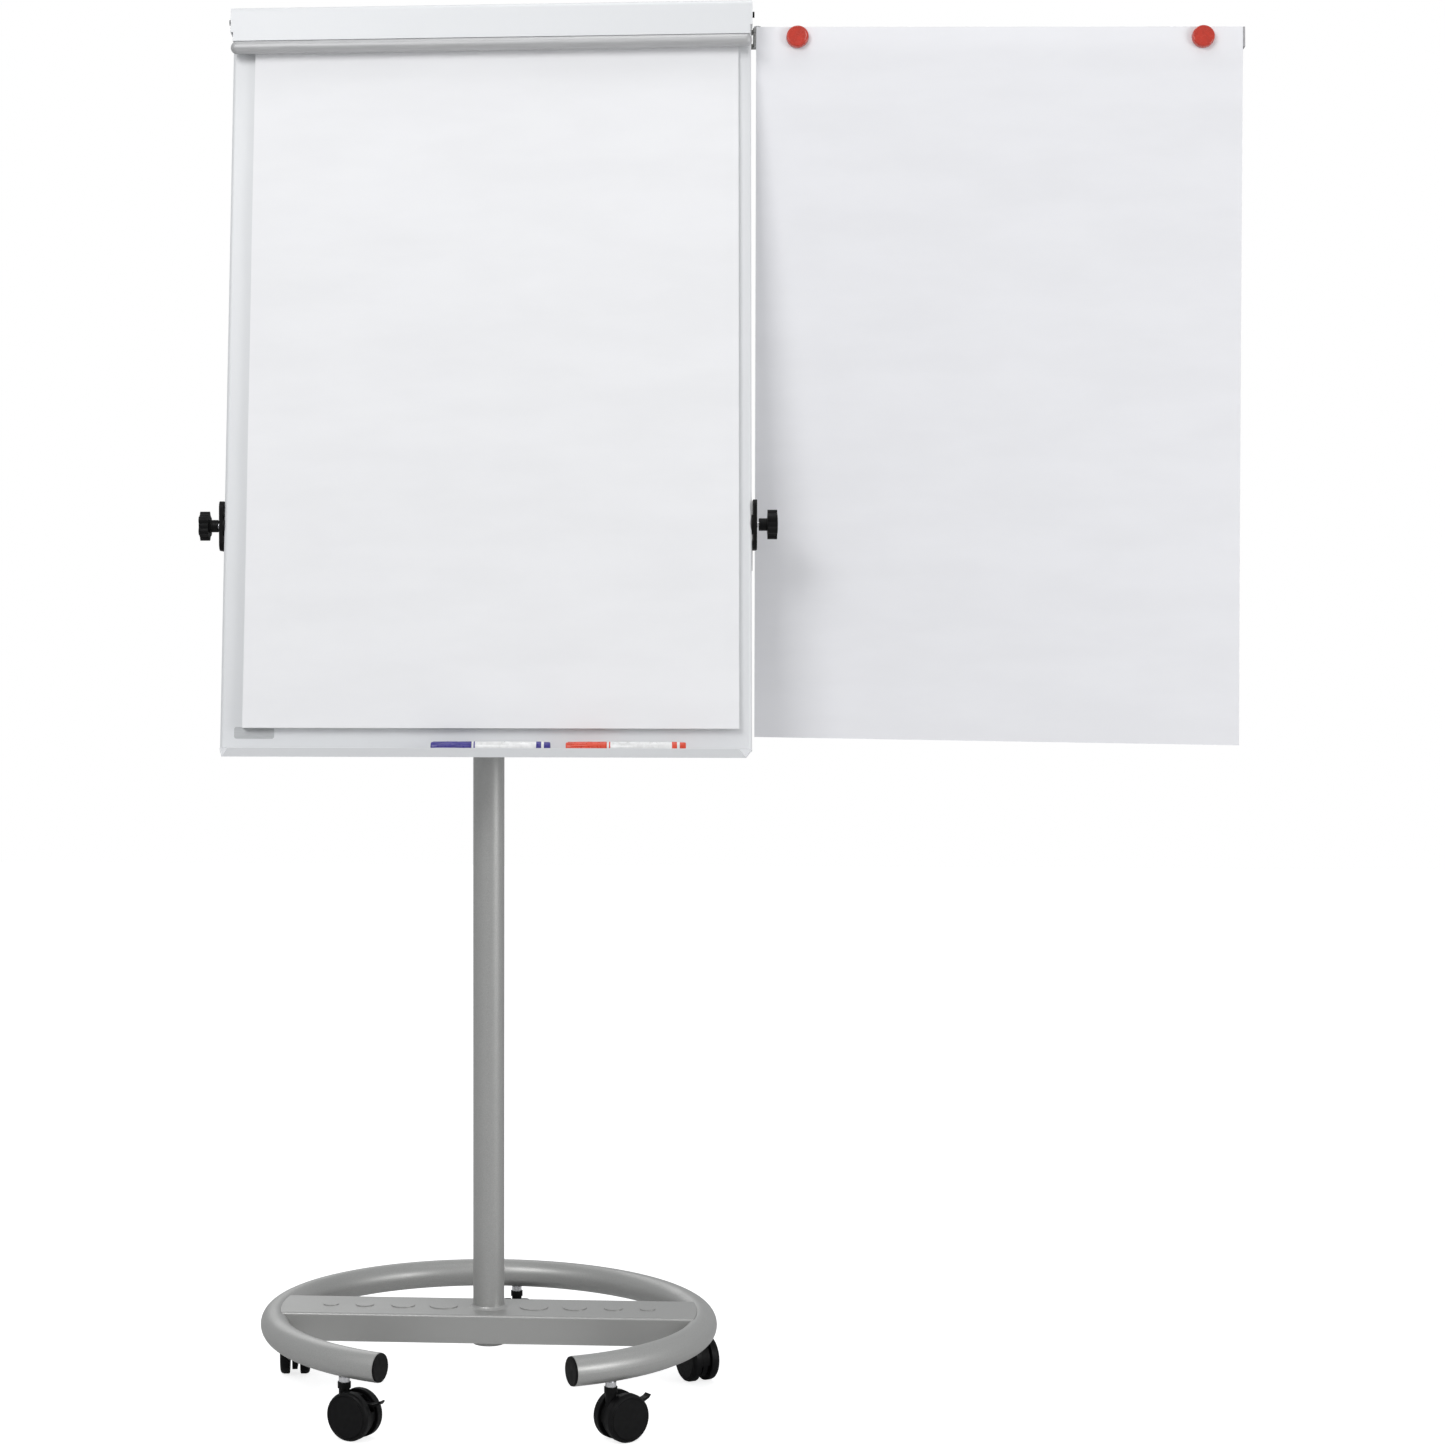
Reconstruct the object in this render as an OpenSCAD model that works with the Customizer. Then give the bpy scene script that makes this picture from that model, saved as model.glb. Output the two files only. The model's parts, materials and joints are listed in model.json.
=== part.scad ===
// Mobile flipchart easel: a leaning magnetic board on a telescopic column and a
// ring base with five twin-wheel casters, a pen tray, a hinged paper clamp and a
// swing-out side arm that carries one loose sheet.
// Millimetres. +Z is up, the board faces -Y and +X is to the right of the viewer.

/* [Base] */
// Radius of the ring's centre line
ring_radius = 288; // [270:1:300]
// Outside diameter of the ring tube
ring_tube_d = 38; // [34:1:38]
// Height of the ring's centre line above the floor
ring_height = 96; // [96:1:110]
// Half of the angle left open at the front of the ring
ring_gap_half = 25; // [22:1:28]
// Width of the cross channel, front to back
channel_width = 100; // [90:1:110]
// Height of the cross channel
channel_height = 38; // [34:1:38]

/* [Casters] */
// Wheel diameter
wheel_d = 62; // [60:1:62]
// Width of one wheel
wheel_width = 13; // [11:1:13]
// Free space between the two wheels of a caster
wheel_gap = 15; // [15:1:17]
// Distance of the wheel axle from the swivel axis
caster_trail = 16; // [14:1:18]
// Angle between neighbouring casters round the ring
caster_spacing = 72; // [70:1:72]

/* [Column] */
// Outside diameter of the fixed column
column_d = 42; // [42:1:44]
// Height of the column's upper end
column_top = 910; // [850:5:910]
// Outside diameter of the sliding inner post
post_d = 35; // [34:0.5:35]
// Length of the inner post
post_length = 500; // [450:10:560]

/* [Board] */
// Width of the board
board_width = 698; // [680:2:698]
// Thickness of the board
board_depth = 20; // [19:1:22]
// Distance from the tilt pivot down to the lower edge
board_below = 298; // [280:2:310]
// Distance from the tilt pivot up to the upper edge
board_above = 696; // [690:2:700]
// Height of the tilt pivot above the floor
pivot_height = 1165; // [1160:1:1180]
// Distance of the tilt pivot in front of the column axis
pivot_forward = 45; // [45:1:50]
// Backward lean of the board at rest
board_lean = 8; // [4:1:12]

/* [Header and paper] */
// Height of the hinged header above the clamp bar
header_height = 48; // [44:1:48]
// How far the header stands in front of the board
header_depth = 20; // [18:1:22]
// Radius of the half-round clamp bar
clamp_bar_r = 8.5; // [8:0.1:9]
// Width of the paper pad and of the loose sheet
paper_width = 650; // [594:1:650]
// Length of the paper pad
paper_length = 960; // [841:1:960]
// Thickness of the pad
pad_depth = 5; // [2:0.5:5]

/* [Pen tray] */
// Depth of the tray floor from board to lip
tray_floor = 42; // [36:1:46]
// Height of the tray lip
tray_lip = 12; // [9:1:14]
// Downward slope of the tray floor against the board's normal
tray_slope = 19; // [12:1:22]
// Diameter of a marker
marker_d = 17; // [15:0.5:18]
// Length of a marker
marker_length = 155; // [140:1:158]

/* [Side arm] */
// Reach of the arm from its hinge pin
arm_reach = 642; // [642:1:660]
// Height of the arm bar
arm_height = 27; // [26:1:28]
// Depth of the arm bar
arm_depth = 12; // [10:1:12]
// Droop of the arm's free end
arm_droop = 0.85; // [0:0.05:1]
// Diameter of a sheet magnet
magnet_d = 30; // [24:1:30]

/* [Hidden] */
$fn = 64;
wall = 2;                               // wall of tubes and of the channel
run_gap = 0.06;                         // radial clearance of a running fit
seat_gap = 0.1;                         // clearance between seated neighbours
ring_r = ring_tube_d / 2;
channel_top = ring_height + ring_r - 1;
column_r = column_d / 2;
post_r = post_d / 2;
post_bottom = 1100 - post_length;
foot_bottom = channel_top - channel_height - 11;
wheel_r = wheel_d / 2;
wheel_outer = wheel_gap / 2 + wheel_width;
stem_seat = ring_height - ring_r;       // underside of the ring
collar_bottom = stem_seat - 6.5;        // underside of the stem's collar
axle_r = 3;
pin_r = 4;                              // caster swivel pin
brake_x = caster_trail + 14;            // brake lever pivot, from the swivel axis
brake_z = wheel_r + 15;
brake_pin_r = 1.5;

// name, angle round the ring, direction of trail
CASTERS = [
    ["front_left", -90 - caster_spacing / 2, -28],
    ["front_right", -90 + caster_spacing / 2, 36],
    ["right", -90 + 1.5 * caster_spacing, -63],
    ["rear", -90 + 2.5 * caster_spacing - 4.5, -90],
    ["left", -90 - 1.5 * caster_spacing, -85]
];

knob_height = 888;                      // axis of the height clamp's screw
screw_r = 4;
crossbar_top = pivot_height - 20;
crossbar_height = 40;
crossbar_front = -24;
crossbar_depth = 30;
board_half = board_width / 2;
washer_depth = 1.9;
plate_inner = board_half + washer_depth + seat_gap;
plate_depth = 5;
plate_height = 66;
tilt_knob_inner = plate_inner + plate_depth + 2.5;
hub_depth = 11.3;
head_depth = 13.2;
knob_reach = tilt_knob_inner + hub_depth + head_depth;

face_y = -12;                           // front face of the board, from the pivot
back_y = face_y + board_depth;
face_sheet = 0.8;
back_sheet = 0.5;
edge_r = 5;
header_top = 705;
header_bottom = header_top - header_height;
header_front = face_y - header_depth;
header_half = 350.5;
header_notch = 13;                      // height of the notch at the flap's lower corners
flap_sheet = 1.5;
flap_pin_v = 687;
flap_pin_y = face_y - 8;
bar_v = header_bottom - 8;
bar_y = header_front + 3.5;
pad_back = face_y - 0.3;
pad_front = pad_back - pad_depth;
pad_offset = 7;
pad_top = 688;
hook_v = 675;
hook_x = [pad_offset - 200, pad_offset + 200];

tray_sheet = 1.5;
tray_back_v = -board_below - 0.2;
marker_r = marker_d / 2;
marker_cap = 53;
marker_plug = 8;
blue_left = -67;
red_left = 108;

arm_v = 666;                            // middle of the arm, at the hinge
arm_y = back_y + 4;
hinge_x = 358;
hinge_r = 3;
knuckle_r = 6;
knuckle_half = 6.2;                     // half height of the arm's own knuckle
rail_start = hinge_x + 10;
rail_end = hinge_x + arm_reach;
arm_end = rail_end + 2.5;
sheet_left = hinge_x - 1.5;
sheet_width = paper_width - 7;
sheet_length = paper_length - 5;        // torn off at the perforation
sheet_inset = 2;                        // from the arm's top edge to the sheet's
sheet_depth = 0.5;
sheet_y = arm_y - arm_depth / 2 - 0.3;
magnet_depth = 8;
magnet_x = [411.5, 947];
magnet_w = -1.5;                        // height of the magnets against the arm's middle
bracket_screws = [[305, 10], [305, -10], [335, 10], [335, -10]];

// the box of the whole object is centred on the origin
right_reach = arm_end;
front_reach = 280;
rear_reach = ring_radius + ring_r + 6;
column_x = (knob_reach - right_reach) / 2;
column_y = (front_reach - rear_reach) / 2;

steel_grey = [0.58, 0.58, 0.57];
lacquer_white = [0.90, 0.91, 0.92];
black = [0.10, 0.10, 0.10];
zinc = [0.78, 0.78, 0.80];
marker_white = [0.95, 0.95, 0.95];
blue = [0.22, 0.18, 0.60];
red = [0.85, 0.22, 0.12];

// ---- frames ----------------------------------------------------------------

// column axis at x = 0, y = 0, floor at z = 0
module in_row() translate([column_x, column_y, 0]) children();

// x along the board, y along its normal (front is negative), z up the board
module on_board()
    in_row() translate([0, -pivot_forward, pivot_height]) rotate([-board_lean, 0, 0]) children();

// z vertical at the swivel axis, x along the trail of the caster
module at_caster(i)
    in_row() rotate([0, 0, CASTERS[i][1]]) translate([ring_radius, 0, 0])
        rotate([0, 0, CASTERS[i][2] - CASTERS[i][1]]) children();

// hinge pin of the arm, x along the drooping arm
module on_arm() on_board() translate([hinge_x, arm_y, arm_v]) rotate([0, arm_droop, 0]) children();

// x along the tray, y towards the board, z square to the tray floor
module on_tray() on_board() translate([0, face_y, tray_back_v]) rotate([tray_slope, 0, 0]) children();

// a section drawn in (y, z), extruded along x about the middle
module along_x(length) rotate([90, 0, 90]) linear_extrude(length, center = true) children();

// a rod along x from x0 to x1
module rod_x(x0, x1, r) translate([x0, 0, 0]) rotate([0, 90, 0]) cylinder(r = r, h = x1 - x0);

// a rod along y from y0 to y1
module rod_y(y0, y1, r) translate([0, y1, 0]) rotate([90, 0, 0]) cylinder(r = r, h = y1 - y0);

module both_sides() for (side = [0, 1]) mirror([side, 0, 0]) children();

// a box given by its lowest and highest corners
module block(low, high) translate(low) cube(high - low);

// ---- base ------------------------------------------------------------------

module ring_rod(r)
    translate([0, 0, ring_height]) rotate([0, 0, ring_gap_half - 90])
        rotate_extrude(angle = 360 - 2 * ring_gap_half) translate([ring_radius, 0]) circle(r = r);

module base_ring() color(steel_grey) difference() {
    in_row() translate([0, 0, ring_height]) rotate([0, 0, ring_gap_half - 90])
        rotate_extrude(angle = 360 - 2 * ring_gap_half) translate([ring_radius, 0])
            difference() { circle(r = ring_r); circle(r = ring_r - wall); }
    for (i = [0 : 4]) at_caster(i) translate([0, 0, stem_seat - 3]) cylinder(r = 5 + run_gap, h = 8);
}

module ring_end_plugs() color(black) for (side = [-1, 1])
    in_row() rotate([0, 0, -90 + side * ring_gap_half]) translate([ring_radius, 0, ring_height])
        rotate([side * 90, 0, 0]) {
            translate([0, 0, seat_gap]) cylinder(r = ring_r - 0.6, h = 2);
            translate([0, 0, seat_gap + 1.9]) cylinder(r1 = ring_r - 0.6, r2 = ring_r - 1.6, h = 0.8);
            translate([0, 0, -8]) cylinder(r = ring_r - wall - 0.5, h = 9);
        }

coin_x = [61, 116, 168, 214];
coin_r = [19, 16, 12.5, 10.5];
coin_h = 1.2;

channel_bend = 3.5;

// a rectangle from z0 to z1 with its two upper corners rounded
module arched(half, z0, z1, r) {
    translate([-half, z0]) square([2 * half, z1 - z0 - r]);
    translate([-half + r, z0]) square([2 * (half - r), z1 - z0]);
    for (side = [-1, 1]) translate([side * (half - r), z1 - r]) circle(r = r);
}

module channel_section() {
    half = channel_width / 2;
    foot = channel_top - channel_height;
    difference() {
        arched(half, foot, channel_top, channel_bend);
        arched(half - wall, foot - 1, channel_top - wall, channel_bend - wall);
    }
}

module cross_channel() color(steel_grey) in_row() difference() {
    union() {
        intersection() {
            along_x(2 * ring_radius) channel_section();
            cylinder(r = ring_radius - 8, h = 2 * ring_height);
        }
        both_sides() for (k = [0 : 3])
            translate([coin_x[k], 0, channel_top - 0.5]) cylinder(r = coin_r[k], h = coin_h + 0.5);
    }
    ring_rod(ring_r + seat_gap);
    cylinder(r = column_r + seat_gap, h = 2 * ring_height);
}

module column_tube() color(steel_grey) in_row() difference() {
    translate([0, 0, foot_bottom]) cylinder(r = column_r, h = column_top - foot_bottom);
    translate([0, 0, foot_bottom - 1]) cylinder(r = column_r - wall, h = column_top);
    translate([0, 0, knob_height]) rod_y(0, column_r + 2, screw_r + 0.5);
}

bush_length = 60;
module column_bush() color(black) in_row() difference() {
    union() {
        translate([0, 0, column_top - bush_length])
            cylinder(r = column_r - wall - seat_gap, h = bush_length + 1);
        translate([0, 0, column_top + 0.1]) cylinder(r = column_r, h = 2.4);
    }
    translate([0, 0, column_top - bush_length - 1]) cylinder(r = post_r + run_gap, h = bush_length + 5);
    translate([0, 0, knob_height]) rod_y(0, column_r + 2, screw_r + 0.5);
}

collar_r = 28;
collar_height = 44;
boss_end = 40;
module height_collar() color(black) in_row() difference() {
    union() {
        translate([0, 0, knob_height - collar_height / 2]) cylinder(r = collar_r, h = collar_height);
        translate([0, 0, knob_height]) rod_y(0, boss_end, 13);
    }
    translate([0, 0, knob_height - collar_height])
        cylinder(r = column_r + run_gap, h = 2 * collar_height);
    translate([0, 0, knob_height]) rod_y(0, boss_end + 1, screw_r + run_gap);
}

// ---- star knobs, drawn with the shaft along +z --------------------------------

lobe_count = 6;
lobe_circle = 14;
lobe_r = 5.4;
hub_r = 8.25;
module knob_outline(r) {
    circle(r = r);
    for (k = [0 : lobe_count - 1])
        rotate(k * 360 / lobe_count) translate([lobe_circle, 0]) circle(r = lobe_r);
}

module star_knob() difference() {
    union() {
        cylinder(r = hub_r, h = hub_depth + 1);
        translate([0, 0, hub_depth]) linear_extrude(head_depth - 0.6) knob_outline(lobe_circle + 2);
        translate([0, 0, hub_depth]) cylinder(r = lobe_circle - 3, h = head_depth);
    }
    translate([0, 0, -1]) cylinder(r = screw_r + 0.02, h = hub_depth + 5);
}

knob_start = boss_end + 3;
module height_knob() color(black)
    in_row() translate([0, knob_start, knob_height]) rotate([-90, 0, 0]) star_knob();

module height_knob_screw() color(zinc)
    in_row() translate([0, 0, knob_height]) rod_y(post_r + 0.2, knob_start + hub_depth, screw_r);

// ---- casters ----------------------------------------------------------------

module caster_stems() color(zinc) for (i = [0 : 4]) at_caster(i) {
    translate([0, 0, collar_bottom - 24]) cylinder(r = pin_r, h = 25);
    translate([0, 0, collar_bottom]) cylinder(r = 7, h = stem_seat - collar_bottom - 0.05);
    translate([0, 0, stem_seat - 1]) cylinder(r = 5, h = 17);
}

hood_r = wheel_r - 4;
hood_half = wheel_gap / 2 - 0.5;
fender_half = 3.5;                      // half width of the hood below the axle
neck_r = 8.5;
neck_foot = 36;
hood_foot = 9;
lever_half = 5;
slot_half = lever_half + 0.3;
module housing(i, has_brake) color(black) at_caster(i) difference() {
    union() {
        translate([0, 0, wheel_d + 0.8]) cylinder(r = neck_r, h = collar_bottom - wheel_d - 0.9);
        translate([0, 0, neck_foot]) cylinder(r = hood_half, h = collar_bottom - neck_foot - 0.1);
        intersection() {
            translate([caster_trail, 0, wheel_r]) rod_y(-hood_half, hood_half, hood_r);
            union() {
                block([-hood_r, -hood_half, wheel_r - 6], [caster_trail + hood_r, hood_half, wheel_d]);
                block([-hood_r, -fender_half, hood_foot], [caster_trail + hood_r, fender_half, wheel_r]);
            }
        }
    }
    translate([0, 0, collar_bottom - 24.5]) cylinder(r = pin_r + run_gap, h = 30);
    translate([caster_trail, 0, wheel_r]) rod_y(-hood_half - 1, hood_half + 1, axle_r + run_gap);
    if (has_brake) {
        block([brake_x - 5, -slot_half, brake_z - 9], [brake_x + 20, slot_half, brake_z + 20]);
        translate([brake_x, 0, brake_z]) rod_y(-hood_half - 1, hood_half + 1, brake_pin_r + run_gap);
    }
}

module axle(i) color(zinc) at_caster(i)
    translate([caster_trail, 0, wheel_r]) rod_y(-wheel_outer + 2, wheel_outer - 2, axle_r);

// half section of a wheel: bored from its inner side, closed and slightly crowned outside
bore_depth = wheel_width - 1.7;
module wheel_profile() polygon([
    [axle_r + 0.02, 0], [wheel_r - 0.8, 0], [wheel_r, 0.8], [wheel_r, wheel_width - 5],
    [wheel_r - 0.9, wheel_width - 2.4], [wheel_r - 2.6, wheel_width - 0.8],
    [wheel_r - 4, wheel_width - 0.4], [wheel_r - 4.6, wheel_width - 0.9],
    [wheel_r - 5.2, wheel_width - 0.2], [wheel_r - 14, wheel_width], [0, wheel_width],
    [0, bore_depth], [axle_r + 0.02, bore_depth]
]);

module wheels(i) color(black) at_caster(i) for (side = [-1, 1])
    translate([caster_trail, side * wheel_gap / 2, wheel_r]) rotate([-side * 90, 0, 0])
        rotate_extrude() wheel_profile();

module brake_lever(i) color(black) at_caster(i) translate([brake_x, 0, brake_z]) {
    rod_y(-lever_half, lever_half, 3.2);
    rod_y(-hood_half, hood_half, brake_pin_r);
    along_brake() polygon([
        [0, -3], [9, -2.2], [19, -0.4], [26, 3], [29, 7], [27.2, 8], [23.5, 5], [17, 2.6], [8, 2.4], [0, 3]
    ]);
}

// a section drawn in (x, z), extruded along y about the middle
module along_brake() rotate([90, 0, 0]) linear_extrude(2 * lever_half, center = true) children();

// ---- lift: post and yoke ----------------------------------------------------

module inner_post() color(zinc) in_row() difference() {
    translate([0, 0, post_bottom]) cylinder(r = post_r, h = post_length);
    translate([0, 0, post_bottom - 1]) cylinder(r = post_r - wall, h = post_length + 2);
}

module post_guide() color(black) in_row() {
    translate([0, 0, post_bottom - 10]) cylinder(r = column_r - wall - run_gap, h = 10 - seat_gap);
    translate([0, 0, post_bottom - 1]) cylinder(r = post_r - wall - seat_gap, h = 22);
}

module post_saddle() color(steel_grey) in_row() {
    block([-32, -25, crossbar_top - crossbar_height - 5], [32, 25, crossbar_top - crossbar_height - 0.05]);
    translate([0, 0, crossbar_top - crossbar_height - 38]) cylinder(r = post_r - wall - 0.05, h = 34);
}

module yoke_crossbar() color(steel_grey) in_row() difference() {
    block([-plate_inner + 0.05, crossbar_front, crossbar_top - crossbar_height],
          [plate_inner - 0.05, crossbar_front + crossbar_depth, crossbar_top]);
    block([-plate_inner - 1, crossbar_front + wall, crossbar_top - crossbar_height + wall],
          [plate_inner + 1, crossbar_front + crossbar_depth - wall, crossbar_top - wall]);
}

// side plate outline in (y, z) about the tilt pivot
plate_front = -11;
plate_corner = 10;
module plate_outline() {
    half = plate_height / 2;
    front = plate_front + plate_corner;
    rear = pivot_forward + crossbar_front + crossbar_depth - plate_corner;
    translate([plate_front, plate_corner - half])
        square([rear + plate_corner - plate_front, plate_height - 2 * plate_corner]);
    translate([front, -half]) square([rear - front, plate_height]);
    for (y = [front, rear])
        for (v = [plate_corner - half, half - plate_corner]) translate([y, v]) circle(r = plate_corner);
}

module yoke_plates() color(black) in_row() both_sides()
    translate([plate_inner + plate_depth / 2, -pivot_forward, pivot_height]) difference() {
        along_x(plate_depth) plate_outline();
        rod_x(-plate_depth, plate_depth, screw_r + 0.5);
    }

module at_pivot() in_row() translate([0, -pivot_forward, pivot_height]) children();

module tilt_washers() color(black) at_pivot() both_sides() difference() {
    rod_x(board_half + 0.05, plate_inner - 0.05, 13);
    rod_x(board_half - 1, plate_inner + 1, screw_r + 0.5);
}

module tilt_knob() translate([tilt_knob_inner, 0, 0]) rotate([0, 90, 0]) star_knob();
module tilt_screw() rod_x(board_half - 36, tilt_knob_inner + hub_depth, screw_r);
module tilt_knob_right() color(black) at_pivot() tilt_knob();
module tilt_knob_left() color(black) at_pivot() mirror([1, 0, 0]) tilt_knob();
module tilt_screw_right() color(zinc) at_pivot() tilt_screw();
module tilt_screw_left() color(zinc) at_pivot() mirror([1, 0, 0]) tilt_screw();

// ---- board --------------------------------------------------------------------

// board section in (x, y), shrunk by g at the sides and the front
module board_section(g, back) {
    r = edge_r - g;
    half = board_half - g;
    translate([-half + r, face_y + g]) square([2 * (half - r), back - face_y - g]);
    translate([-half, face_y + edge_r]) square([2 * half, back - face_y - edge_r]);
    for (side = [-1, 1]) translate([side * (half - r), face_y + edge_r]) circle(r = r);
}

module board_solid(g, back) translate([0, 0, -board_below + g])
    linear_extrude(board_below + board_above - 2 * g) board_section(g, back);

module at_hooks() for (x = hook_x) translate([x, 0, hook_v]) children();

module at_bracket_screws()
    for (p = bracket_screws) translate([p[0], 0, arm_v + p[1]]) children();

module board_face() color(lacquer_white) on_board() difference() {
    board_solid(0, back_y);
    board_solid(face_sheet, back_y + 1);
    rod_x(-board_half - 1, board_half + 1, screw_r + 0.7);
    at_hooks() rod_y(face_y - 1, face_y + 2, 3.1);
}

insert_half = 25;
insert_inner = 300;
module insert_blocks(g) both_sides()
    block([insert_inner - g, -7 - g, -insert_half - g],
          [board_half - face_sheet - 0.2 + g, 6 + g, insert_half + g]);

module board_core() color([0.78, 0.66, 0.48]) on_board() difference() {
    board_solid(face_sheet + seat_gap, back_y - back_sheet - 0.1);
    insert_blocks(0.1);
    at_hooks() rod_y(face_y - 1, -3, 3.1);
    at_bracket_screws() rod_y(-4, back_y + 1, 2.05);
}

module board_back() color(lacquer_white) on_board() difference() {
    g = face_sheet + 0.2;
    block([g - board_half, back_y - back_sheet, g - board_below],
          [board_half - g, back_y, board_above - g]);
    at_bracket_screws() rod_y(0, back_y + 1, 2.05);
}

module pivot_inserts() color(zinc) on_board() difference() {
    insert_blocks(0);
    rod_x(-board_half, board_half, screw_r + run_gap);
}

lip_end = 340;
lip_mitre = 9;
module pen_tray() color(lacquer_white) {
    on_board() block([-board_half, face_y - 0.4, tray_back_v - tray_sheet],
                     [board_half, back_y, tray_back_v]);
    on_tray() translate([0, 0, -tray_sheet]) linear_extrude(tray_sheet)
        polygon([[-board_half, 0], [board_half, 0], [lip_end, -tray_floor - tray_sheet],
                 [-lip_end, -tray_floor - tray_sheet]]);
    on_tray() translate([0, -tray_floor, 0]) rotate([90, 0, 0]) linear_extrude(tray_sheet)
        polygon([[-lip_end, -tray_sheet], [lip_end, -tray_sheet],
                 [lip_end - lip_mitre, tray_lip - tray_sheet],
                 [lip_mitre - lip_end, tray_lip - tray_sheet]]);
}

// ---- header -------------------------------------------------------------------

bracket_web = 344.5;
bracket_foot = header_bottom + header_notch + 1;
module header_brackets() color(steel_grey) on_board() both_sides() difference() {
    union() {
        block([bracket_web, face_y - 14, bracket_foot],
              [bracket_web + 1.8, face_y - seat_gap, flap_pin_v + 5]);
        block([bracket_web - 11, face_y - 1.6, bracket_foot],
              [bracket_web + 1, face_y - seat_gap, flap_pin_v + 5]);
    }
    translate([0, flap_pin_y, flap_pin_v]) rod_x(bracket_web - 5, bracket_web + 5, 2.52);
}

module flap_pins() color(black) on_board() translate([0, flap_pin_y, flap_pin_v]) both_sides() {
    rod_x(bracket_web - 10, header_half + 1, 2.5);
    rod_x(header_half + 0.3, header_half + 2.8, 4);
}

module clamp_springs() color(zinc) on_board() translate([0, flap_pin_y, flap_pin_v]) both_sides() {
    difference() {
        rod_x(bracket_web - 9, bracket_web - 0.5, 4.4);
        rod_x(bracket_web - 12, bracket_web + 1, 3);
    }
    translate([bracket_web - 8, -3.7, -14]) cylinder(r = 0.7, h = 14);
}

flap_bend = 7;
module flap_outline(g) {
    r = flap_bend - g;
    front = header_front + g;
    top = header_top - g;
    back = face_y - 1;
    foot = header_bottom + 0.6 + g;
    translate([front, foot]) square([back - front, header_top - flap_bend - foot]);
    translate([front + r, header_top - flap_bend - 1]) square([back - front - r, flap_bend + 1 - g]);
    translate([front + r, top - r]) circle(r = r);
}

module header_flap() color(lacquer_white) on_board() difference() {
    along_x(2 * header_half) flap_outline(0);
    along_x(2 * header_half - 2 * flap_sheet) flap_outline(flap_sheet);
    // open towards the board, behind the front sheet, top sheet and lower flange
    block([-header_half + flap_sheet, face_y - 3, header_bottom + 0.6 + flap_sheet],
          [header_half - flap_sheet, face_y, header_top - flap_sheet]);
    block([-header_half + flap_sheet, header_front + 9, header_bottom - 1],
          [header_half - flap_sheet, face_y, header_bottom + 5]);
    translate([0, flap_pin_y, flap_pin_v]) rod_x(-header_half - 1, header_half + 1, 2.5 + run_gap);
    // the lower corners are set in by the thickness of the end plates and a little more
    both_sides() block([header_half - 3.5, header_front - 1, header_bottom - 1],
                       [header_half + 1, face_y, header_bottom + header_notch]);
}

// a rod with round ends, along x
module round_rod(half, r) rotate([0, 90, 0]) rotate_extrude() {
    translate([0, -half + r]) square([r, 2 * (half - r)]);
    for (side = [-1, 1]) intersection() {
        translate([0, side * (half - r)]) circle(r = r);
        translate([0, -half]) square([r, 2 * half]);
    }
}

module clamp_bar() color([0.66, 0.66, 0.66]) on_board() {
    translate([0, bar_y, bar_v]) round_rod(board_half + 1, clamp_bar_r);
    block([-board_half + 8, bar_y, bar_v - 4], [board_half - 8, pad_front - 0.2, bar_v + 4]);
}

module pad_hooks() color(zinc) on_board() at_hooks() {
    rod_y(pad_front - 6, -4, 3);
    rod_y(pad_front - 8, pad_front - 5.5, 5.5);
}

module paper_pad() color([0.96, 0.96, 0.95]) on_board() difference() {
    block([pad_offset - paper_width / 2, pad_front, pad_top - paper_length],
          [pad_offset + paper_width / 2, pad_back, pad_top]);
    at_hooks() rod_y(pad_front - 1, pad_back + 1, 6);
}

// ---- side arm -------------------------------------------------------------------

// the leaf steps round behind its knuckles, out of the way of the sheet as the arm swings forward
leaf_end = hinge_x - knuckle_r - 1.6;
leaf_depth = 2.2;
module arm_bracket() color(steel_grey) on_board() difference() {
    union() {
        block([293, back_y + 0.1, arm_v - 15], [leaf_end, back_y + 0.1 + leaf_depth, arm_v + 15]);
        for (side = [-1, 1]) {
            v0 = side > 0 ? arm_v + knuckle_half + 0.3 : arm_v - arm_height / 2;
            height = arm_height / 2 - knuckle_half - 0.3;
            rear = arm_y + knuckle_r - 0.1;
            translate([hinge_x, arm_y, v0]) cylinder(r = knuckle_r, h = height);
            block([leaf_end - leaf_depth, back_y + 0.1, v0], [leaf_end, rear, v0 + height]);
            block([leaf_end - leaf_depth, rear - leaf_depth, v0], [hinge_x, rear, v0 + height]);
        }
    }
    translate([hinge_x, arm_y, 0]) cylinder(r = hinge_r + 0.02, h = header_top);
    at_bracket_screws() rod_y(0, back_y + 5, 2.1);
}

module bracket_screws() color(zinc) on_board() at_bracket_screws() {
    rod_y(-3, back_y + 3, 2);
    rod_y(back_y + 2.35, back_y + 4.6, 4);
}

module arm_hinge_pin() color(zinc) on_board() translate([hinge_x, arm_y, arm_v]) {
    translate([0, 0, -arm_height / 2 - 1.5]) cylinder(r = hinge_r, h = arm_height + 2);
    translate([0, 0, arm_height / 2 + 0.1]) cylinder(r = 5, h = 2);
}

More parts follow.
